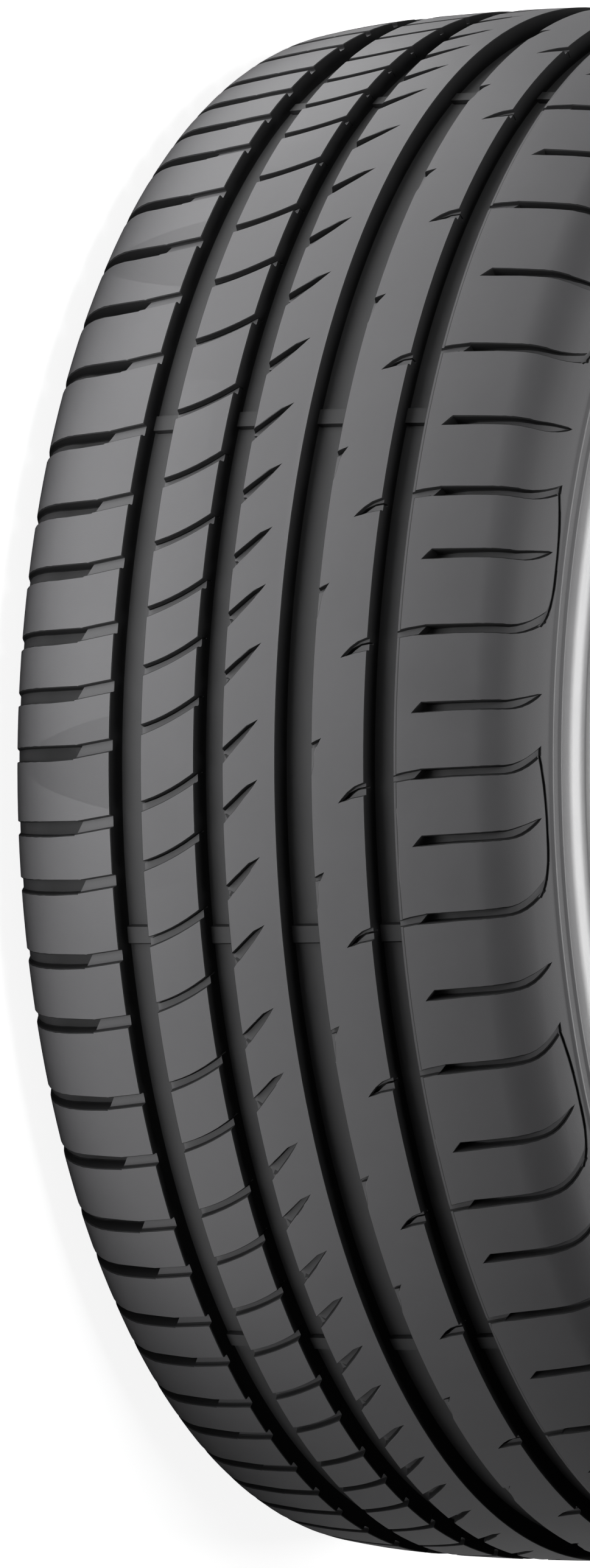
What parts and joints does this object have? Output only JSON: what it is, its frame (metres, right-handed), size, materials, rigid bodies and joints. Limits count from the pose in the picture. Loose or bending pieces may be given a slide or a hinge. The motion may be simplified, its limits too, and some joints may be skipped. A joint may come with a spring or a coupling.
{
  "type": "car tyre",
  "caption": "Low-profile road tyre with straight circumferential grooves, slotted shoulders and two beads that seat on a wheel rim.",
  "frame": {"origin": "middle of the tyre, on the spin axis and half-way across the section", "axes": "+Z along the spin axis, towards the outer sidewall; the tyre lies on its inner sidewall"},
  "size_m": [0.6532, 0.6532, 0.239],
  "materials": {
    "tyre": "satin moulded rubber"
  },
  "bodies": {
    "root": {"tyre": "tyre"}
  },
  "joints": []
}
